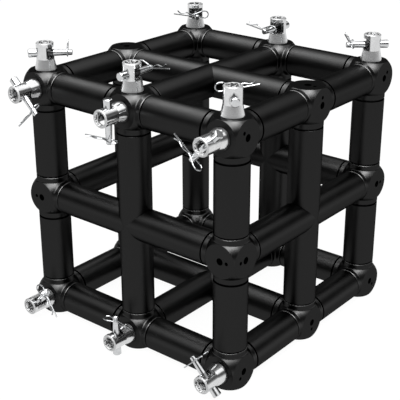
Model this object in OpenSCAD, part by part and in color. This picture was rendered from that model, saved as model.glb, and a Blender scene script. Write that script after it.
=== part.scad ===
// Truss junction block: a cube of tubes with bored hubs at its corners and mid-edges,
// a tube cross on each face, and pinned half couplers on the top and front faces.

/* [Frame] */

// centre distance of the corner hubs along each edge
pitch = 339; // [300:1:420]
// outer diameter of every tube
tube_d = 48; // [44:1:52]
// wall thickness of every tube
tube_wall = 3; // [2:0.5:4]
// width of the groove turned beside each butt joint
groove_w = 1.8; // [0.8:0.1:2.4]
// width of the ring inside that groove on which the tube butts
butt_ring = 0.8; // [0.5:0.1:1.5]
// clearance between a coped stub and the through tube of a face cross
cope_gap = 0.1; // [0.05:0.05:0.3]

/* [Hubs] */

// height of a hub's flat above the tube surface
flat_proud = 0.5; // [0:0.5:3]
// radius of a hub's flat beyond the tube radius
flat_rim = 0.3; // [0.2:0.1:1]
// length of a collar from the level of the flats to the butt joint
collar_len = 10; // [6:1:14]
// rounding of a collar's edge beside the groove
collar_round = 1.4; // [0.6:0.2:1.8]
// radius of the fillet between a collar and the ball
fillet = 3; // [1.5:0.5:4]
// length of the register that enters the tube
register_len = 10; // [6:1:16]
// radial play of the register in the tube
register_play = 0.2; // [0.1:0.05:0.4]

/* [Flat holes] */

// bolt diameter
bolt_d = 10; // [8:1:12]
// depth of the bolt holes
bolt_depth = 18; // [14:1:22]
// dowel diameter
dowel_d = 5; // [4:0.5:6]
// distance of the dowel hole from the bolt hole
dowel_pitch = 11; // [10.5:0.5:12]
// depth of the dowel holes
dowel_depth = 8; // [7:0.5:10]
// diametral play of bolts, dowels and pins in their holes
play = 0.2; // [0.1:0.05:0.4]

/* [Couplers] */

// thickness of the foot under the bolt head
foot_h = 6; // [5.5:0.5:8]
// diameter of the clearance hole for the bolt in the foot
foot_hole_d = 11; // [10.5:0.25:11.5]
// wall thickness around the axial bore
coupler_wall = 3.6; // [3:0.1:4.5]
// radial growth of the flared base
flare = 3.2; // [2:0.2:4]
// height of the flared base
flare_h = 15.5; // [12:0.5:16]
// distance of the window's cut plane from the axis
window_reach = 6.4; // [5:0.2:8]
// height of the window
window_len = 16; // [14:0.5:18]
// length of the tip above the window
tip_len = 6.25; // [5:0.25:9]
// rounding of the tip's rim
tip_round = 1.2; // [0.6:0.2:1.4]

/* [Bolts] */

// diameter of the bolt head
head_d = 16; // [15:0.5:17]
// height of the bolt head
head_h = 10; // [9:0.5:11]
// width across flats of the hexagon socket
hex_w = 8; // [6:1:9]
// radial play around the bolt head
head_play = 1.2; // [0.8:0.1:1.6]
// length of the bolt in the hub
thread_len = 16; // [12:0.5:17]

/* [Pins and clips] */

// pin diameter at its thick end
pin_big_d = 12.5; // [11:0.5:13]
// pin diameter at its thin end
pin_small_d = 8; // [7:0.5:9]
// gap between the bolt head and the pin
pin_gap = 1.25; // [1:0.25:3]
// height of the lowest pins above the base plane
base_clear = 0.2; // [0.1:0.1:1]
// distance of the clip hole from the coupler axis
clip_reach = 32; // [30:0.5:36]
// length of the pin beyond the clip hole
pin_tail = 7; // [6:0.5:9]
// wire diameter of the clips
wire_d = 2; // [1.6:0.2:2.4]
// lean of the clips towards the coupler's tip
clip_lean = 9; // [0:1:12]
// length of a clip's straight leg from the pin
clip_leg = 39; // [34:1:44]
// distance of a clip's loop behind the pin
clip_back = 12; // [10:0.5:14]
// mean radius of a clip's loop
clip_loop_r = 5.75; // [5:0.25:6.5]

/* [Hidden] */

$fn = 64;
AXES = [[1, 0, 0], [0, 1, 0], [0, 0, 1]];
ends = [-1, 1];
black = [0.13, 0.13, 0.14];
satin = [0.78, 0.79, 0.80];
steel = [0.66, 0.67, 0.69];

tube_r = tube_d / 2;
bore_r = tube_r - tube_wall;
groove_r = bore_r + butt_ring;
half = pitch / 2;
flat_reach = tube_r + flat_proud;
ball_r = norm([flat_reach, tube_r + flat_rim]);
collar_reach = flat_reach + collar_len;
arm_end = half - collar_reach;
fillet_level = sqrt(pow(ball_r + fillet, 2) - pow(tube_r + fillet, 2));
fillet_lean = atan2(fillet_level, tube_r + fillet);
fillet_steps = 4;
round_steps = 4;
edge_break = 0.2;
centre_z = flat_reach + half;

head_bore_r = head_d / 2 + head_play;
coupler_r = head_bore_r + coupler_wall;
base_r = coupler_r + flare;
pin_level = foot_h + head_h + pin_big_d / 2 + pin_gap;
window_low = pin_level - pin_big_d / 2;
window_high = window_low + window_len;
coupler_len = window_high + tip_len;
pin_out = flat_reach - base_clear;
pin_in = clip_reach + pin_tail;
pin_slope = (pin_big_d - pin_small_d) / 2 / (pin_out + pin_in);
pin_chamfer = 1;
dowel_foot = foot_h - 1;
dowel_hub = dowel_depth - 1;
wire_sides = 8;
far = 3 * tube_d;

// places of the hubs, as signs along X, Y and Z
corner_signs = [for (z = ends, y = ends, x = ends) [x, y, z]];
mid_signs = [for (z = [-1, 0, 1], y = [-1, 0, 1], x = [-1, 0, 1])
    if (abs(x) + abs(y) + abs(z) == 2) [x, y, z]];
// outward signs of the six faces
face_signs = [for (a = AXES, e = ends) e * a];
// places of the six couplers of a face, as signs along its two edges
seats = [for (v = ends, u = [-1, 0, 1]) [u, v]];
// turn of the clips on the top face: the first clip is fitted the other way round
top_turns = [1, -1, -1, -1, -1, -1];
front_turns = [-1, -1, -1, -1, -1, -1];
// angle of each coupler's window from the inner end of its pin
top_windows = [-20, -62, 0, 0, 20, 0];
front_windows = [0, 0, -25, 0, 0, 0];

corner_nodes = [
    "corner_hub_front_left_bottom", "corner_hub_front_right_bottom",
    "corner_hub_back_left_bottom", "corner_hub_back_right_bottom",
    "corner_hub_front_left_top", "corner_hub_front_right_top",
    "corner_hub_back_left_top", "corner_hub_back_right_top"];
mid_nodes = [
    "mid_hub_front_bottom", "mid_hub_left_bottom", "mid_hub_right_bottom", "mid_hub_back_bottom",
    "mid_hub_front_left", "mid_hub_front_right", "mid_hub_back_left", "mid_hub_back_right",
    "mid_hub_front_top", "mid_hub_left_top", "mid_hub_right_top", "mid_hub_back_top"];
edge_nodes = [
    "edge_tubes_front_bottom", "edge_tubes_left_bottom", "edge_tubes_right_bottom",
    "edge_tubes_back_bottom", "edge_tubes_front_left", "edge_tubes_front_right",
    "edge_tubes_back_left", "edge_tubes_back_right", "edge_tubes_front_top",
    "edge_tubes_left_top", "edge_tubes_right_top", "edge_tubes_back_top"];
cross_nodes = [
    "face_cross_left", "face_cross_right", "face_cross_front",
    "face_cross_back", "face_cross_bottom", "face_cross_top"];
top_nodes = [
    "coupler_top_front_left", "coupler_top_front_mid", "coupler_top_front_right",
    "coupler_top_back_left", "coupler_top_back_mid", "coupler_top_back_right"];
front_nodes = [
    "coupler_front_bottom_left", "coupler_front_bottom_mid", "coupler_front_bottom_right",
    "coupler_front_top_left", "coupler_front_top_mid", "coupler_front_top_right"];

function unit(v) = v / norm(v);
function along(v, i) = v[i] * AXES[i];

// turns +Z onto a direction
module facing(d) {
    rotate([0, acos(d[2] / norm(d)), atan2(d[1], d[0])])
        children();
}

// moves from the cube's centre to a place given by signs
module at_place(s) {
    translate([0, 0, centre_z])
        translate(half * s)
            children();
}

// solid of revolution about Z from (radius, height) points
module turned(points) {
    rotate_extrude()
        polygon(points);
}

// point of the fillet beside a collar, from 0 at the ball to 1 at the collar
function fillet_point(t) = let (a = 180 + (1 - t) * fillet_lean)
    [tube_r + fillet, fillet_level] + fillet * [cos(a), sin(a)];

// point of the rounding at a collar's end, from 0 on its side to 1 at the groove
function round_point(t) = [tube_r, collar_reach - groove_w]
    + collar_round * [cos(90 * t) - 1, sin(90 * t) - 1];

// round collar along +Z with a fillet to the ball, a rounded end, a groove and a register for the tube
module collar() {
    first = fillet_point(0);
    entry = first + unit(first - fillet_point(1 / fillet_steps));
    turned(concat(
        [[0, 0], [tube_r / 2, 0], entry],
        [for (k = [1:fillet_steps]) fillet_point(k / fillet_steps)],
        [for (k = [0:round_steps]) round_point(k / round_steps)],
        [[groove_r, collar_reach - groove_w], [groove_r, collar_reach],
            [bore_r - register_play, collar_reach],
            [bore_r - register_play, collar_reach + register_len - 1],
            [bore_r - register_play - 1, collar_reach + register_len],
            [0, collar_reach + register_len]]));
}

// bolt hole and dowel hole sunk into the flat that faces along axis i
module flat_holes(s, i) {
    normal = along(s, i);
    aside = unit(s - normal);
    translate(flat_reach * normal)
        facing(-normal) {
            translate([0, 0, -1])
                cylinder(d = bolt_d + play, h = bolt_depth + 1);
        }
    translate(flat_reach * normal + dowel_pitch * aside)
        facing(-normal) {
            translate([0, 0, -1])
                cylinder(d = dowel_d + play, h = dowel_depth + 1);
        }
}

// hub at a place given by signs: flats outwards, collars along every other direction
module hub(s) {
    low = [for (c = s) c < 0 ? -flat_reach : -far];
    high = [for (c = s) c > 0 ? flat_reach : far];
    color(black)
        at_place(s)
            difference() {
                intersection() {
                    union() {
                        sphere(r = ball_r);
                        for (i = [0:2], e = ends)
                            if (e != s[i])
                                facing(e * AXES[i])
                                    collar();
                    }
                    translate(low)
                        cube(high - low);
                }
                for (i = [0:2])
                    if (s[i] != 0)
                        flat_holes(s, i);
            }
}

// tube along Z with its sharp edges broken
module tube(z0, z1) {
    turned([
        [bore_r, z0], [tube_r - edge_break, z0], [tube_r, z0 + edge_break],
        [tube_r, z1 - edge_break], [tube_r - edge_break, z1], [bore_r, z1]]);
}

// the two tubes of one edge, on both sides of its mid-edge hub
module edge_tubes(s) {
    i = [for (k = [0:2]) if (s[k] == 0) k][0];
    color(black)
        at_place(s)
            for (e = ends)
                facing(e * AXES[i])
                    tube(collar_reach, arm_end);
}

// cross of a through tube and two coped stubs in the face given by its outward signs
module face_cross(s) {
    run = [for (k = [0:2]) if (s[k] == 0) AXES[k]];
    color(black)
        at_place(s) {
            facing(run[1])
                tube(-arm_end, arm_end);
            for (e = ends)
                difference() {
                    facing(e * run[0])
                        tube(0, arm_end);
                    facing(run[1])
                        cylinder(r = tube_r + cope_gap, h = far, center = true);
                }
        }
}

// half coupler on +Z: its pin runs along X, thin end at +X, and its window turns from there
module half_coupler(turn) {
    color(satin)
        difference() {
            turned([
                [0, 0], [base_r - 0.6, 0], [base_r, 0.6], [coupler_r, flare_h],
                [coupler_r, coupler_len - tip_round], [coupler_r - tip_round, coupler_len],
                [head_bore_r + 0.6, coupler_len], [head_bore_r, coupler_len - 0.6],
                [head_bore_r, foot_h], [0, foot_h]]);
            translate([0, 0, -1])
                cylinder(d = foot_hole_d, h = foot_h + 2);
            translate([-dowel_pitch, 0, -1])
                cylinder(d = dowel_d + play, h = dowel_foot + 1);
            rotate([0, 0, turn])
                translate([window_reach, -tube_d, window_low])
                    cube([tube_d, 2 * tube_d, window_len]);
            pin_profile(play / 2);
        }
}

// taper along +X through the coupler, with some growth for a hole
module pin_profile(grow) {
    translate([-pin_out, 0, pin_level])
        rotate([0, 90, 0])
            turned([
                [0, 0], [pin_big_d / 2 - pin_chamfer + grow, 0],
                [pin_big_d / 2 - pin_chamfer * pin_slope + grow, pin_chamfer],
                [pin_small_d / 2 + pin_chamfer * pin_slope + grow, pin_out + pin_in - pin_chamfer],
                [pin_small_d / 2 - pin_chamfer + grow, pin_out + pin_in], [0, pin_out + pin_in]]);
}

// taper pin with the cross hole of its clip
module taper_pin(turn) {
    color(steel)
        difference() {
            pin_profile(0);
            clip_frame(turn)
                rotate([0, 90, 0])
                    cylinder(d = wire_d + 2 * play, h = 2 * pin_big_d, center = true);
        }
}

// frame of a clip: origin in the pin's cross hole, +X along the straight leg, +Z to the bowed leg
module clip_frame(turn) {
    translate([clip_reach, 0, pin_level])
        rotate([0, 0, 90 * turn])
            rotate([0, -clip_lean, 0])
                children();
}

// point of a clip's bowed leg: share of the straight leg, then rise in loop radii
function bow(share, rise) = [share * clip_leg, 1.2 * wire_d + rise * clip_loop_r];

// path of a clip's wire in its plane: straight leg, loop, bowed leg
clip_path = concat(
    [[clip_leg, 0], [-clip_back, 0]],
    [for (a = [-65:25:60]) [-clip_back, clip_loop_r]
        + clip_loop_r * [-cos(a), sin(a)]],
    [[-clip_back, 2 * clip_loop_r], [-0.6 * clip_back, 1.86 * clip_loop_r],
        [wire_d, (pin_small_d + wire_d) / 2 + play], bow(0.15, 0.17), bow(0.23, 0.03),
        bow(0.31, 0.17), bow(0.41, 0.4), bow(0.51, 0.4), bow(0.62, 0.17), bow(0.69, 0),
        bow(0.77, 0.14), bow(0.86, 0.63)]);

// direction of the wire at point k of its path
function heading(p, k) = unit(p[min(k + 1, len(p) - 1)] - p[max(k - 1, 0)]);

// ring of wire points around point k of a path in the XZ plane
function wire_ring(p, k) = let (t = heading(p, k))
    [for (j = [0:wire_sides - 1]) let (a = 360 * (j + 0.5) / wire_sides, r = wire_d / 2)
        [p[k][0] - t[1] * r * cos(a), r * sin(a), p[k][1] + t[0] * r * cos(a)]];

// clip bent from one wire
module r_clip(turn) {
    n = wire_sides;
    last = len(clip_path) - 1;
    color(steel)
        clip_frame(turn)
            polyhedron(
                points = [for (k = [0:last]) each wire_ring(clip_path, k)],
                faces = concat(
                    [[for (j = [0:n - 1]) n - 1 - j]],
                    [for (k = [0:last - 1], j = [0:n - 1])
                        [k * n + j, k * n + (j + 1) % n, (k + 1) * n + (j + 1) % n, (k + 1) * n + j]],
                    [[for (j = [0:n - 1]) last * n + j]]));
}

// socket-head bolt that holds a coupler to its hub
module coupler_bolt() {
    color(steel)
        difference() {
            turned([
                [0, -thread_len], [bolt_d / 2 - 1, -thread_len], [bolt_d / 2, 1 - thread_len],
                [bolt_d / 2, foot_h], [head_d / 2, foot_h], [head_d / 2, foot_h + head_h - 1],
                [head_d / 2 - 1, foot_h + head_h], [0, foot_h + head_h]]);
            translate([0, 0, foot_h + head_h / 2])
                rotate(30)
                    cylinder(d = hex_w / cos(30), h = head_h, $fn = 6);
        }
}

// dowel that keys a coupler to its hub
module dowel() {
    color(steel)
        translate([-dowel_pitch, 0, -dowel_hub])
            cylinder(d = dowel_d, h = dowel_hub + dowel_foot - 0.5);
}

// places a coupler piece on the top face, its pin pointing inwards
module on_top(seat) {
    at_place([seat[0], seat[1], 1])
        translate([0, 0, flat_reach])
            rotate([0, 0, atan2(-seat[1], -seat[0])])
                children();
}

// places a coupler piece on the front face, its pin pointing inwards
module on_front(seat) {
    at_place([seat[0], -1, seat[1]])
        translate([0, -flat_reach, 0])
            rotate([90, 0, 0])
                rotate([0, 0, atan2(-seat[1], -seat[0])])
                    children();
}

for (k = [0:len(corner_signs) - 1]) {
    hub(corner_signs[k]);
}
for (k = [0:len(mid_signs) - 1]) {
    hub(mid_signs[k]);
    edge_tubes(mid_signs[k]);
}
for (k = [0:len(face_signs) - 1]) {
    face_cross(face_signs[k]);
}
for (k = [0:len(seats) - 1]) {
    on_top(seats[k]) half_coupler(top_windows[k]);
    on_front(seats[k]) half_coupler(front_windows[k]);
    on_top(seats[k]) taper_pin(top_turns[k]);  // taper_pins_top
    on_front(seats[k]) taper_pin(front_turns[k]);  // taper_pins_front
    on_top(seats[k]) r_clip(top_turns[k]);  // r_clips_top
    on_front(seats[k]) r_clip(front_turns[k]);  // r_clips_front
    on_top(seats[k]) coupler_bolt();  // coupler_bolts_top
    on_front(seats[k]) coupler_bolt();  // coupler_bolts_front
    on_top(seats[k]) dowel();  // dowels_top
    on_front(seats[k]) dowel();  // dowels_front
}
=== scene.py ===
"""Looks of the truss junction block: coated tubes and hubs, bright couplers, pins and clips.

Lengths are in metres and the lamps' angles in degrees. The places of hubs and couplers are measured
on the loaded frame, so that each finish follows the pieces that it covers.
"""

from __future__ import annotations

import logging
import math
from dataclasses import dataclass
from enum import Enum
from typing import Any, Iterable, Sequence

import bpy
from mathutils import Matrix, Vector

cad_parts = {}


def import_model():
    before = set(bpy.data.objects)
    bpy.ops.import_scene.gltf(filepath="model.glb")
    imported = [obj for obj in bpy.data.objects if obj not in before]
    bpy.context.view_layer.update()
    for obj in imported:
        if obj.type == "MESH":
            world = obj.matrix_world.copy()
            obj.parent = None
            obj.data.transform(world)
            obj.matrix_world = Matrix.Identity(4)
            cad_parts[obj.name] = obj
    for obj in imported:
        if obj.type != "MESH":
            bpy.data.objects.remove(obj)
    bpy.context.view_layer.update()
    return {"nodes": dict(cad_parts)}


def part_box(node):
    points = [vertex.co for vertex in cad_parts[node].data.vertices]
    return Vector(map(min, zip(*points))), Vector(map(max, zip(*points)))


logging.basicConfig(level=logging.INFO, format="%(message)s")
LOG = logging.getLogger("junction_block")

Socket = bpy.types.NodeSocket
Triple = tuple[float, float, float]

EVEN: Triple = (1.0, 1.0, 1.0)
WHITE = (1.0, 1.0, 1.0, 1.0)
NOISE_ROUGHNESS = 0.55
NOISE_LOW, NOISE_HIGH = 0.3, 0.7  # most of a noise lies between these
OPENNESS_SAMPLES = 8


class Face(Enum):
    """Faces of the cube that carry couplers, with their outward axis as an index of X, Y, Z."""

    TOP = 2
    FRONT = 1


@dataclass(frozen=True)
class Lattice:
    """Places of the hubs: the tubes' distance from the cube's centre, and from there to a flat."""

    half: float
    flat: float

    @classmethod
    def measure(cls) -> Lattice:
        """Measures the loaded frame.

        Returns:
            The lattice.
        """
        cross_low, cross_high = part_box("face_cross_front")
        corner_low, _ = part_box("corner_hub_front_left_bottom")
        half = -(cross_low.y + cross_high.y) / 2
        return cls(half, -corner_low.x - half)

    @property
    def reach(self) -> float:
        """Distance from the cube's centre to its flats."""
        return self.half + self.flat


@dataclass(frozen=True)
class Noise:
    """A noise over a piece: its scale, its octaves and its stretch along X, Y and Z."""

    size: float
    detail: float
    stretch: Triple = EVEN


class NodeGraph:
    """The shader nodes of a material or world, with short calls that add and link them."""

    def __init__(self, owner: bpy.types.Material | bpy.types.World) -> None:
        """Starts with no nodes.

        Args:
            owner: Material or world that the nodes belong to.
        """
        owner.use_nodes = True
        self.tree = owner.node_tree
        self.tree.nodes.clear()

    def add(self, kind: str, **settings: Any) -> bpy.types.Node:
        """Adds a node and sets its properties or input values.

        Args:
            kind: Blender's node type.
            **settings: Properties of the node, or inputs with underscores for spaces.

        Returns:
            The new node.
        """
        node = self.tree.nodes.new(kind)
        for key, value in settings.items():
            if hasattr(node, key):
                setattr(node, key, value)
            else:
                node.inputs[key.replace("_", " ")].default_value = value
        return node

    def link(self, source: Socket, target: Socket) -> None:
        """Links an output socket to an input socket."""
        self.tree.links.new(source, target)

    def show(self, shader: Socket, output: str = "ShaderNodeOutputMaterial") -> None:
        """Makes a shader the one that is seen.

        Args:
            shader: Socket of the shader.
            output: Blender's type of the output node.
        """
        self.link(shader, self.add(output).inputs["Surface"])

    def mix(self, share: Socket, first: Socket, second: Socket) -> Socket:
        """Mixes two shaders.

        Args:
            share: Socket with the share of the second, 0 to 1.
            first: Socket of the first shader.
            second: Socket of the second shader.

        Returns:
            The mixed shader's socket.
        """
        mixed = self.add("ShaderNodeMixShader")
        for source, target in zip((share, first, second), mixed.inputs):
            self.link(source, target)
        return mixed.outputs["Shader"]

    def math(self, operation: str, *values: Socket | float) -> Socket:
        """Does one step of arithmetic.

        Args:
            operation: Blender's name of the operation.
            *values: Sockets or numbers to use.

        Returns:
            The result's socket.
        """
        node = self.add("ShaderNodeMath", operation=operation)
        for value, target in zip(values, node.inputs):
            if isinstance(value, Socket):
                self.link(value, target)
            else:
                target.default_value = value
        return node.outputs[0]

    def times(self, value: Socket, *factors: Socket | float) -> Socket:
        """Multiplies a value by some factors.

        Args:
            value: Socket with the value.
            *factors: Sockets or numbers.

        Returns:
            The product's socket.
        """
        for factor in factors:
            value = self.math("MULTIPLY", value, factor)
        return value

    def fade(self, value: Socket, start: float, end: float) -> Socket:
        """A soft step from 0 to 1.

        Args:
            value: Socket with the value.
            start: Value at which the step starts.
            end: Value at which it ends, which may be the lower one.

        Returns:
            The step's socket.
        """
        step = self.add(
            "ShaderNodeMapRange", interpolation_type="SMOOTHSTEP", From_Min=start, From_Max=end
        )
        self.link(value, step.inputs["Value"])
        return step.outputs["Result"]

    def place(self, scale: Triple = EVEN, shift: Triple = (0.0, 0.0, 0.0)) -> Socket:
        """Object coordinates, stretched and then shifted.

        Args:
            scale: Factors along X, Y and Z.
            shift: Shift along X, Y and Z.

        Returns:
            The vector's socket.
        """
        coords = self.add("ShaderNodeTexCoord")
        mapping = self.add("ShaderNodeMapping", Scale=scale, Location=shift)
        self.link(coords.outputs["Object"], mapping.inputs["Vector"])
        return mapping.outputs["Vector"]

    def noise(self, noise: Noise) -> Socket:
        """Lays a noise over the piece.

        Args:
            noise: Its sizes.

        Returns:
            The noise's socket, with values of about 0 to 1.
        """
        node = self.add(
            "ShaderNodeTexNoise",
            Scale=noise.size,
            Detail=noise.detail,
            Roughness=NOISE_ROUGHNESS,
        )
        self.link(self.place(noise.stretch), node.inputs["Vector"])
        return node.outputs["Fac"]

    def spread(self, noise: Socket, low: float, high: float) -> Socket:
        """A value between two, by a noise.

        Args:
            noise: Socket with the noise.
            low: Result at the low end.
            high: Result at the high end.

        Returns:
            The value's socket.
        """
        mapped = self.add(
            "ShaderNodeMapRange",
            From_Min=NOISE_LOW,
            From_Max=NOISE_HIGH,
            To_Min=low,
            To_Max=high,
        )
        self.link(noise, mapped.inputs["Value"])
        return mapped.outputs["Result"]

    def ramp(self, value: Socket, stops: Iterable[tuple[float, Triple]]) -> Socket:
        """A colour looked up on a ramp.

        Args:
            value: Socket with the place on the ramp.
            stops: Rising places, 0 to 1, each with its colour.

        Returns:
            The colour's socket.
        """
        node = self.add("ShaderNodeValToRGB")
        elements = node.color_ramp.elements
        for k, (place, color) in enumerate(stops):
            stop = elements[k] if k < len(elements) else elements.new(place)
            stop.position, stop.color = place, (*color, 1.0)
        self.link(value, node.inputs["Fac"])
        return node.outputs["Color"]

    def tint(self, noise: Socket, dark: Triple, light: Triple) -> Socket:
        """A colour between two, by a noise.

        Args:
            noise: Socket with the noise.
            dark: Colour at the low end.
            light: Colour at the high end.

        Returns:
            The colour's socket.
        """
        return self.ramp(noise, ((NOISE_LOW, dark), (NOISE_HIGH, light)))

    def dim(self, color: Socket, amount: Socket, level: float) -> Socket:
        """A colour dimmed where an amount is high.

        Args:
            color: Socket with the colour.
            amount: Socket with the share of the effect, 0 to 1.
            level: Factor on the colour at an amount of 1.

        Returns:
            The dimmed colour's socket.
        """
        scaled = self.add("ShaderNodeVectorMath", operation="SCALE")
        factor = self.math("SUBTRACT", 1.0, self.times(amount, 1.0 - level))
        self.link(color, scaled.inputs[0])
        self.link(factor, scaled.inputs["Scale"])
        return scaled.outputs[0]

    def openness(self, distance: float) -> Socket:
        """How open a place is: 1 on a free surface and less in a nook.

        Args:
            distance: How far around a place is felt.

        Returns:
            The openness's socket.
        """
        node = self.add(
            "ShaderNodeAmbientOcclusion", samples=OPENNESS_SAMPLES, Distance=distance
        )
        return node.outputs["AO"]

    def bump(self, height: Socket, share: float, depth: float) -> Socket:
        """Normals roughened by a height.

        Args:
            height: Socket with the height, about 0 to 1.
            share: Share of the effect.
            depth: Real height.

        Returns:
            The normal's socket.
        """
        node = self.add("ShaderNodeBump", Strength=share, Distance=depth)
        self.link(height, node.inputs["Height"])
        return node.outputs["Normal"]


class PieceGraph(NodeGraph):
    """The nodes of a piece's finish, which know where the hubs and couplers are."""

    def __init__(self, name: str, lattice: Lattice) -> None:
        """Starts an empty material.

        Args:
            name: Name of the material.
            lattice: Places of the hubs.
        """
        self.material = bpy.data.materials.new(name)
        self.lattice = lattice
        super().__init__(self.material)

    def along(self, vector: Socket, face: Face) -> Sequence[Socket]:
        """Parts of a vector across and out of a face.

        Args:
            vector: Socket with the vector.
            face: The face.

        Returns:
            Two sockets across the face and one outwards.
        """
        split = self.add("ShaderNodeSeparateXYZ")
        self.link(vector, split.inputs["Vector"])
        x, y, z = split.outputs
        return (x, y, z) if face is Face.TOP else (x, z, self.times(y, -1.0))

    def from_centre(self, face: Face) -> Sequence[Socket]:
        """Distances from the cube's centre, two across a face and one outwards."""
        return self.along(self.place(shift=(0.0, 0.0, -self.lattice.reach)), face)

    def outward(self, face: Face) -> Socket:
        """How far the surface turns outwards from a face, -1 to 1."""
        return self.along(self.add("ShaderNodeNewGeometry").outputs["Normal"], face)[2]

    def from_hub(self, distance: Socket) -> Socket:
        """Distance from the nearest hub along an axis, by that from the cube's centre."""
        return self.math("PINGPONG", distance, self.lattice.half / 2)

    def hub_reach(self) -> Socket:
        """Largest distance from the nearest hub's centre along X, Y or Z.

        Returns:
            The distance's socket.
        """
        x, y, z = [self.from_hub(part) for part in self.from_centre(Face.TOP)]
        return self.math("MAXIMUM", x, self.math("MAXIMUM", y, z))

    def seat_radius(self, face: Face) -> Socket:
        """Distance from the axis of the nearest coupler of a face.

        Args:
            face: The face.

        Returns:
            The distance's socket.
        """
        across = [self.from_hub(part) for part in self.from_centre(face)[:2]]
        squares = [self.times(part, part) for part in across]
        return self.math("SQRT", self.math("ADD", *squares))

    def seat_height(self, face: Face) -> Socket:
        """Height above the flats on which the couplers of a face stand."""
        return self.math("SUBTRACT", self.from_centre(face)[2], self.lattice.reach)


@dataclass(frozen=True)
class PowderCoat:
    """Satin black powder coat with a fine orange-peel skin.

    The skin mirrors a small share of the light, and a painted sheen adds to it on surfaces that
    face up.
    A painted highlight adds to it on the upper lips of the hubs' collars, and painted shade takes
    the mirroring away in nooks and at the tubes' ends.
    """

    name: str
    dark: Triple = (0.0002, 0.0002, 0.0002)
    light: Triple = (0.0008, 0.0008, 0.0008)
    cloud: Noise = Noise(22.0, 3.0)
    smooth: float = 0.36
    rough: float = 0.42
    gloss: float = 0.0245
    # painted sheen: extra mirrored share on surfaces that face up
    top_sheen_share: float = 0.025
    top_sheen_turn: tuple[float, float] = (0.0, 0.5)
    # painted highlight: extra mirrored share on the upper lips of the hubs' collars
    lip_highlight_share: float = 0.0
    lip_highlight_turn: tuple[float, float] = (0.1, 0.5)
    lip: tuple[float, float] = (0.0309, 0.0328)
    lip_fades: tuple[float, float] = (0.0003, 0.0001)
    # painted shade: nothing is mirrored nearer a hub's centre than this, at the tubes' ends
    tube_end: float = 0.0
    end_fade: float = 0.0003
    # painted shade: the mirrored share fades out in nooks, by their openness
    nook: float = 0.0025
    nook_range: tuple[float, float] = (0.40, 0.80)
    grain: Noise = Noise(700.0, 2.0)
    peel: float = 0.00004
    peel_share: float = 0.25

    def make(self, lattice: Lattice) -> bpy.types.Material:
        """Builds the material.

        Args:
            lattice: Places of the hubs.

        Returns:
            The material.
        """
        graph = PieceGraph(self.name, lattice)
        paint = graph.add("ShaderNodeBsdfDiffuse")
        skin = graph.add("ShaderNodeBsdfAnisotropic", distribution="BECKMANN", Color=WHITE)
        cloud = graph.noise(self.cloud)
        normal = graph.bump(graph.noise(self.grain), self.peel_share, self.peel)
        graph.link(graph.tint(cloud, self.dark, self.light), paint.inputs["Color"])
        graph.link(graph.spread(cloud, self.smooth, self.rough), skin.inputs["Roughness"])
        graph.link(normal, skin.inputs["Normal"])
        graph.show(graph.mix(self.sheen(graph), paint.outputs["BSDF"], skin.outputs["BSDF"]))
        return graph.material

    def sheen(self, graph: PieceGraph) -> Socket:
        """Share of the light that the skin mirrors, with painted sheen, painted highlight and
        painted shade.

        Args:
            graph: Nodes of the material.

        Returns:
            The share's socket.
        """
        reach, upward = graph.hub_reach(), graph.outward(Face.TOP)
        (lip_start, lip_end), (fade_in, fade_out) = self.lip, self.lip_fades
        # painted sheen on surfaces that face up
        top_sheen = graph.times(graph.fade(upward, *self.top_sheen_turn), self.top_sheen_share)
        # painted highlight on the upper lips of the hubs' collars
        lip_highlight = graph.times(
            graph.fade(upward, *self.lip_highlight_turn),
            self.lip_highlight_share,
            graph.fade(reach, lip_start, lip_start + fade_in),
            graph.fade(reach, lip_end, lip_end - fade_out),
        )
        # painted shade at the tubes' ends and in nooks
        return graph.times(
            graph.math("ADD", lip_highlight, graph.math("ADD", top_sheen, self.gloss)),
            graph.fade(reach, self.tube_end - self.end_fade, self.tube_end),
            graph.fade(graph.openness(self.nook), *self.nook_range),
        )


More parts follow.
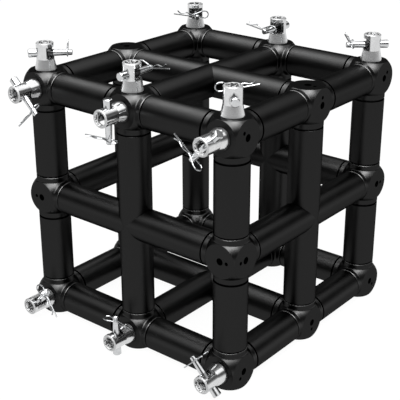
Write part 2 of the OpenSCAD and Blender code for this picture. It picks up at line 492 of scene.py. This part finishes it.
@dataclass(frozen=True)
class TurnedMetal:
    """Bright metal with fine turning marks around a coupler's axis.

    The bore is matt and specked, and the tip is duller than the sides. Painted shade darkens what
    the window shows, the recesses outside the bore and the tip's end face.
    """

    name: str
    face: Face
    dark: Triple = (0.80, 0.805, 0.81)
    light: Triple = (0.88, 0.885, 0.89)
    cloud: Noise = Noise(160.0, 4.0)
    smooth: float = 0.13
    rough: float = 0.20
    marks: float = 2600.0
    across: float = 24.0
    mark_detail: float = 3.0
    mark_depth: float = 0.00002
    mark_share: float = 0.3
    # painted shade: how far around a place the darkening in recesses is felt
    recess_shade_reach: float = 0.004
    haze: float = 0.35
    haze_rough: float = 0.60
    shell: float = 0.0124
    shell_fade: float = 0.0006
    window: tuple[float, float] = (0.0168, 0.0335)
    height_fade: float = 0.0004
    # painted shade: factor on the colour of what the window shows
    painted_shade_level: float = 0.22
    bore: float = 0.0096
    bore_fade: float = 0.0002
    specks: Noise = Noise(340.0, 1.0)
    speck_range: tuple[float, float] = (0.53, 0.47)
    speck_shade: float = 0.14
    tip: float = 0.0382
    tip_turn: tuple[float, float] = (0.2, 0.5)
    # painted shade: factor on the colour of the tip's upward end face
    tip_painted_shade_level: float = 0.42

    def make(self, lattice: Lattice) -> bpy.types.Material:
        """Builds the material.

        Args:
            lattice: Places of the couplers.

        Returns:
            The material.
        """
        graph = PieceGraph(self.name, lattice)
        turned = graph.add("ShaderNodeBsdfPrincipled", Metallic=1.0)
        veil = graph.add("ShaderNodeBsdfPrincipled", Metallic=1.0, Roughness=self.haze_rough)
        matt = graph.add("ShaderNodeBsdfDiffuse")
        x, y, z = [self.marks if k == self.face.value else self.across for k in range(3)]
        rings = graph.noise(Noise(1.0, self.mark_detail, (x, y, z)))
        shaded, bored, tip = self.masks(graph)
        tone = self.tone(graph, shaded, bored, tip)
        graph.link(tone, turned.inputs["Base Color"])
        graph.link(tone, veil.inputs["Base Color"])
        graph.link(tone, matt.inputs["Color"])
        graph.link(graph.spread(rings, self.smooth, self.rough), turned.inputs["Roughness"])
        graph.link(graph.bump(rings, self.mark_share, self.mark_depth), turned.inputs["Normal"])
        hazed = graph.math("MAXIMUM", tip, self.haze)
        outside = graph.mix(hazed, turned.outputs["BSDF"], veil.outputs["BSDF"])
        graph.show(graph.mix(bored, outside, matt.outputs["BSDF"]))
        return graph.material

    def masks(self, graph: PieceGraph) -> tuple[Socket, Socket, Socket]:
        """Masks of the places that differ from the coupler's sides.

        Args:
            graph: Nodes of the material.

        Returns:
            Sockets of 0 to 1 for what the window shows, the bore and the tip.
        """
        radius, height = graph.seat_radius(self.face), graph.seat_height(self.face)
        low, high = self.window
        # mask of the painted shade in the window
        shaded = graph.times(
            graph.fade(radius, self.shell, self.shell - self.shell_fade),
            graph.fade(height, low - self.height_fade, low),
            graph.fade(height, high, high - self.height_fade),
        )
        bored = graph.fade(radius, self.bore, self.bore - self.bore_fade)
        # mask of the tip's upward end face, which takes painted shade and the rough veil
        tip = graph.times(
            graph.fade(height, self.tip, self.tip + self.height_fade),
            graph.fade(graph.outward(self.face), *self.tip_turn),
        )
        return shaded, bored, tip

    def tone(self, graph: PieceGraph, shaded: Socket, bored: Socket, tip: Socket) -> Socket:
        """The metal's colour, with painted shade in the window, in recesses outside the bore and on
        the tip, and darker specks in the bore.

        Args:
            graph: Nodes of the material.
            shaded: Mask of what the window shows.
            bored: Mask of the bore.
            tip: Mask of the tip.

        Returns:
            The colour's socket.
        """
        metal = graph.tint(graph.noise(self.cloud), self.dark, self.light)
        specked = graph.times(bored, graph.fade(graph.noise(self.specks), *self.speck_range))
        # painted shade in recesses, kept away from the bore
        lit = graph.math("MAXIMUM", graph.openness(self.recess_shade_reach), bored)
        # painted shade in the window
        tone = graph.dim(metal, shaded, self.painted_shade_level)
        tone = graph.dim(tone, specked, self.speck_shade)
        # painted shade on the tip
        tone = graph.dim(tone, tip, self.tip_painted_shade_level)
        return graph.dim(tone, graph.math("SUBTRACT", 1.0, lit), 0.0)


@dataclass(frozen=True)
class PolishedSteel:
    """Polished, plated steel with faint handling marks, and painted shade where a coupler surrounds
    it.
    """

    name: str
    dark: Triple = (0.66, 0.67, 0.68)
    light: Triple = (0.78, 0.79, 0.80)
    cloud: Noise = Noise(240.0, 4.0)
    smooth: float = 0.10
    rough: float = 0.20
    scratches: Noise = Noise(1.0, 2.0, (900.0, 140.0, 900.0))
    scratch_depth: float = 0.00001
    scratch_share: float = 0.12
    seat: Face | None = None
    shell: float = 0.0130
    shell_fade: float = 0.0008
    # painted shade: factor on the colour of the pin inside the coupler
    painted_shade_level: float = 0.10
    # painted shade ends where the surface turns outwards past this
    shade_turn: float = 0.85
    shade_turn_fade: float = 0.4

    def make(self, lattice: Lattice) -> bpy.types.Material:
        """Builds the material.

        Args:
            lattice: Places of the couplers.

        Returns:
            The material.
        """
        graph = PieceGraph(self.name, lattice)
        steel = graph.add("ShaderNodeBsdfPrincipled", Metallic=1.0)
        cloud = graph.noise(self.cloud)
        normal = graph.bump(graph.noise(self.scratches), self.scratch_share, self.scratch_depth)
        tone = graph.tint(cloud, self.dark, self.light)
        if self.seat:
            radius, outward = graph.seat_radius(self.seat), graph.outward(self.seat)
            # painted shade on the pin inside the coupler, except where it faces outwards
            seat_shade = graph.times(
                graph.fade(radius, self.shell, self.shell - self.shell_fade),
                graph.fade(outward, self.shade_turn, self.shade_turn - self.shade_turn_fade),
            )
            tone = graph.dim(tone, seat_shade, self.painted_shade_level)
        graph.link(tone, steel.inputs["Base Color"])
        graph.link(graph.spread(cloud, self.smooth, self.rough), steel.inputs["Roughness"])
        graph.link(normal, steel.inputs["Normal"])
        graph.show(steel.outputs["BSDF"])
        return graph.material


@dataclass(frozen=True)
class StudioWhite:
    """White floor that keeps a soft shadow, brighter to the camera than in the metal."""

    name: str = "studio_white"
    shade: float = 0.84
    glow: float = 0.93
    mirrored: float = 0.80
    seen: float = 1.035

    def make(self) -> bpy.types.Material:
        """Builds the material.

        Returns:
            The material.
        """
        material = bpy.data.materials.new(self.name)
        graph = NodeGraph(material)
        rays = graph.add("ShaderNodeLightPath").outputs
        paint = graph.add("ShaderNodeBsdfDiffuse", Color=(self.shade, self.shade, self.shade, 1.0))
        light = graph.add("ShaderNodeEmission", Color=WHITE)
        camera = rays["Is Camera Ray"]
        level = graph.math("MULTIPLY_ADD", camera, self.seen - self.mirrored, self.mirrored)
        graph.link(level, light.inputs["Strength"])
        shown = graph.math("MAXIMUM", camera, rays["Is Glossy Ray"])
        shown = graph.math("MAXIMUM", shown, rays["Is Transmission Ray"])
        share = graph.times(shown, self.glow)
        graph.show(graph.mix(share, paint.outputs["BSDF"], light.outputs["Emission"]))
        return material


@dataclass
class Dresser:
    """Gives CAD nodes their finish and their crisp edges."""

    nodes: dict[str, bpy.types.Object]
    lattice: Lattice
    crease: float = math.radians(9.0)

    def named(self, *starts: str) -> list[bpy.types.Object]:
        """CAD nodes whose names start with one of some words.

        Args:
            *starts: First words of the names.

        Returns:
            The nodes' objects, in name order.
        """
        return [self.nodes[name] for name in sorted(self.nodes) if name.startswith(starts)]

    def dress(self, finish: PowderCoat | TurnedMetal | PolishedSteel, *starts: str) -> None:
        """Puts a finish on CAD nodes and reports each of them.

        Args:
            finish: Their finish.
            *starts: First words of the nodes' names.
        """
        material = finish.make(self.lattice)
        for piece in self.named(*starts):
            piece.data.materials.clear()
            piece.data.materials.append(material)
            LOG.info("%s: %s", piece.name, material.name)

    def crisp(self, *starts: str) -> None:
        """Keeps the shallow edges of turned pieces sharp in the shading.

        Args:
            *starts: First words of the nodes' names.
        """
        for piece in self.named(*starts):
            split = piece.modifiers.new("crisp_edges", "EDGE_SPLIT")
            split.split_angle = self.crease


@dataclass
class TubeFrame:
    """The cube of hubs, edge tubes and face crosses."""

    dresser: Dresser
    # painted shade at the tubes' ends
    tube_coat: PowderCoat = PowderCoat("tube_powder_coat", tube_end=0.0352)
    cross_coat: PowderCoat = PowderCoat("cross_powder_coat")
    # the hubs take a painted highlight on their lips and more painted sheen on top
    hub_coat: PowderCoat = PowderCoat(
        "hub_powder_coat", smooth=0.31, rough=0.37, lip_highlight_share=0.067, top_sheen_share=0.036
    )

    def dress(self) -> None:
        """Coats the tubes and hubs."""
        self.dresser.dress(self.tube_coat, "edge_tubes")
        self.dresser.dress(self.cross_coat, "face_cross")
        self.dresser.dress(self.hub_coat, "corner_hub", "mid_hub")


@dataclass
class Couplers:
    """The half couplers of one face with their bolts, dowels and taper pins."""

    dresser: Dresser
    face: Face
    haze: float
    # painted shade levels: in the window, on the tip's end face and on the pins inside the couplers
    painted_shade_level: float
    tip_painted_shade_level: float
    pin_painted_shade_level: float
    pin_shade_turn: float
    bolt_smooth: float = 0.28
    bolt_rough: float = 0.42
    # the bolts take no painted shade in the window
    bolt_painted_shade_level: float = 1.0

    def dress(self) -> None:
        """Finishes the couplers and their fasteners."""
        side = self.face.name.lower()
        turned = TurnedMetal(
            f"coupler_satin_{side}",
            self.face,
            haze=self.haze,
            painted_shade_level=self.painted_shade_level,
            tip_painted_shade_level=self.tip_painted_shade_level,
        )
        bolt = TurnedMetal(
            f"bolt_zinc_{side}",
            self.face,
            smooth=self.bolt_smooth,
            rough=self.bolt_rough,
            painted_shade_level=self.bolt_painted_shade_level,
        )
        pin = PolishedSteel(
            f"pin_polish_{side}", seat=self.face, painted_shade_level=self.pin_painted_shade_level, shade_turn=self.pin_shade_turn
        )
        self.dresser.dress(turned, f"coupler_{side}")
        self.dresser.crisp(f"coupler_{side}")
        self.dresser.dress(bolt, f"coupler_bolts_{side}", f"dowels_{side}")
        self.dresser.dress(pin, f"taper_pins_{side}")


@dataclass
class Clips:
    """The R-clips that hold the taper pins."""

    dresser: Dresser
    steel: PolishedSteel = PolishedSteel(
        "clip_polish", dark=(0.44, 0.45, 0.46), light=(0.54, 0.55, 0.56)
    )

    def dress(self) -> None:
        """Finishes the clips."""
        self.dresser.dress(self.steel, "r_clips")


@dataclass(frozen=True)
class Softbox:
    """A soft square lamp: its bearing, height, distance, side and radiance."""

    name: str
    azimuth: float
    height: float
    distance: float
    size: float
    brightness: float

    def hang(self, aim: Vector) -> None:
        """Hangs the lamp so that it faces a point.

        Args:
            aim: The point.
        """
        data = bpy.data.lights.new(self.name, "AREA")
        data.size = self.size
        data.energy = self.brightness * math.pi * self.size**2
        azimuth, height = math.radians(self.azimuth), math.radians(self.height)
        level = math.cos(height)
        away = Vector((level * math.cos(azimuth), level * math.sin(azimuth), math.sin(height)))
        lamp = bpy.data.objects.new(self.name, data)
        lamp.location = aim + self.distance * away
        lamp.rotation_euler = (-away).to_track_quat("-Z", "Y").to_euler()
        bpy.context.scene.collection.objects.link(lamp)


@dataclass
class Studio:
    """Camera, floor, world and lamps.

    The dome is the world's brightness by the upward part of a direction.
    """

    eye: Triple = (0.87213, -1.09525, 0.77325)
    back: Triple = (0.58306, -0.71901, 0.37824)
    lens: float = 88.413
    sensor: float = 36.0
    shift: tuple[float, float] = (-0.006645, -0.045273)
    clip: tuple[float, float] = (0.05, 100.0)
    aim: Triple = (0.0, 0.0, 0.3)
    lamps: tuple[Softbox, ...] = (
        Softbox("front", -75.0, 64.0, 2.1, 1.5, 3.84),
        Softbox("low_front", -75.0, 42.0, 2.2, 1.0, 2.64),
        Softbox("right", -25.0, 60.0, 2.2, 1.0, 5.76),
        Softbox("left", 172.0, 53.0, 2.2, 1.1, 3.0),
    )
    sky: float = 1.08
    dome: tuple[tuple[float, float], ...] = (
        (0.0, 0.46),
        (0.06, 0.40),
        (0.17, 0.17),
        (0.30, 0.06),
        (0.56, 0.05),
        (0.70, 1.0),
        (1.0, 1.0),
    )
    floor_size: float = 120.0
    floor_drop: float = 0.0002
    floor_white: StudioWhite = StudioWhite()

    def camera(self) -> None:
        """Sets the camera at the viewing point."""
        data = bpy.data.cameras.new("camera")
        data.sensor_width = self.sensor
        data.lens = self.lens
        data.shift_x, data.shift_y = self.shift
        data.clip_start, data.clip_end = self.clip
        camera = bpy.data.objects.new("camera", data)
        camera.location = self.eye
        camera.rotation_mode = "QUATERNION"
        camera.rotation_quaternion = (-Vector(self.back)).to_track_quat("-Z", "Y")
        bpy.context.scene.collection.objects.link(camera)
        bpy.context.scene.camera = camera

    def floor(self) -> None:
        """Lays the white floor just under the block."""
        half = self.floor_size / 2
        corners = [(-half, -half, 0), (half, -half, 0), (half, half, 0), (-half, half, 0)]
        mesh = bpy.data.meshes.new("floor")
        mesh.from_pydata(corners, [], [(0, 1, 2, 3)])
        mesh.materials.append(self.floor_white.make())
        floor = bpy.data.objects.new("floor", mesh)
        floor.location.z = -self.floor_drop
        bpy.context.scene.collection.objects.link(floor)

    def world(self) -> None:
        """Sets a dome that is pale at the horizon, dark above it and bright overhead."""
        world = bpy.data.worlds.new("studio")
        graph = NodeGraph(world)
        sky = graph.add("ShaderNodeBackground", Strength=self.sky)
        coords = graph.add("ShaderNodeTexCoord")
        parts = graph.add("ShaderNodeSeparateXYZ")
        stops = [(place, (level, level, level)) for place, level in self.dome]
        graph.link(coords.outputs["Generated"], parts.inputs["Vector"])
        graph.link(graph.ramp(parts.outputs["Z"], stops), sky.inputs["Color"])
        graph.show(sky.outputs["Background"], "ShaderNodeOutputWorld")
        bpy.context.scene.world = world

    def build(self) -> None:
        """Makes the whole studio."""
        bpy.context.scene.view_settings.view_transform = "Standard"
        self.camera()
        self.floor()
        self.world()
        for lamp in self.lamps:
            lamp.hang(Vector(self.aim))
        LOG.info("studio ready")


def main() -> None:
    """Loads the frame, dresses each sub-assembly and sets up the studio."""
    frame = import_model()
    dresser = Dresser(frame["nodes"], Lattice.measure())
    TubeFrame(dresser).dress()
    # each face's couplers get their own painted shade levels
    Couplers(
        dresser, Face.TOP, haze=0.12, painted_shade_level=0.22, tip_painted_shade_level=0.60, pin_painted_shade_level=0.10, pin_shade_turn=1.50
    ).dress()
    Couplers(
        dresser, Face.FRONT, haze=0.05, painted_shade_level=0.55, tip_painted_shade_level=0.80, pin_painted_shade_level=0.40, pin_shade_turn=0.85
    ).dress()
    Clips(dresser).dress()
    Studio().build()


if __name__ == "__main__":
    main()
